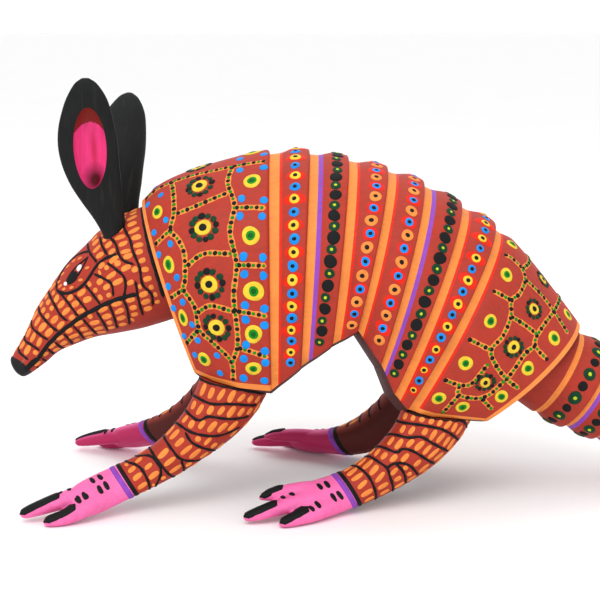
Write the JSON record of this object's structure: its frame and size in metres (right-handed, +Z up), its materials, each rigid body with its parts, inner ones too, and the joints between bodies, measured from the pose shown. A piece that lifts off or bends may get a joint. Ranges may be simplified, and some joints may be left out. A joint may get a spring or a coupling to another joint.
{
  "type": "carved armadillo figure",
  "caption": "Carved and painted wooden armadillo, walking with its nose down, with a banded shell, splayed clawed feet, and ears and a ringed tail that pull out on pegs.",
  "frame": {"origin": "centre of the bounding box at floor level", "axes": "+Z up, -X towards the nose, +X towards the tail, -Y towards the figure's left side"},
  "size_m": [0.3328, 0.1168, 0.1734],
  "materials": {
    "painted_wood": "satin terracotta paint with painted ornament",
    "black_paint": "matte black paint",
    "bare_wood": "unpainted dowel wood"
  },
  "bodies": {
    "figure": {"trunk": "painted_wood", "head": "painted_wood", "front_left_leg": "painted_wood", "front_right_leg": "painted_wood", "rear_left_leg": "painted_wood", "rear_right_leg": "painted_wood", "neck_dowel": "bare_wood", "front_left_dowel": "bare_wood", "front_right_dowel": "bare_wood", "rear_left_dowel": "bare_wood", "rear_right_dowel": "bare_wood"},
    "left_ear": {"ear_left": "black_paint"},
    "right_ear": {"ear_right": "black_paint"},
    "tail_piece": {"tail": "painted_wood"}
  },
  "joints": [
    {"name": "left_ear_pull", "type": "slide", "parent": "figure", "child": "left_ear", "axis": [0, -0.2079, 0.9781], "range_m": [0, 0.016]},
    {"name": "right_ear_pull", "type": "slide", "parent": "figure", "child": "right_ear", "axis": [0.1219, 0.4812, 0.8681], "range_m": [0, 0.016]},
    {"name": "tail_pull", "type": "slide", "parent": "figure", "child": "tail_piece", "axis": [1, 0, 0], "range_m": [0, 0.025]}
  ]
}
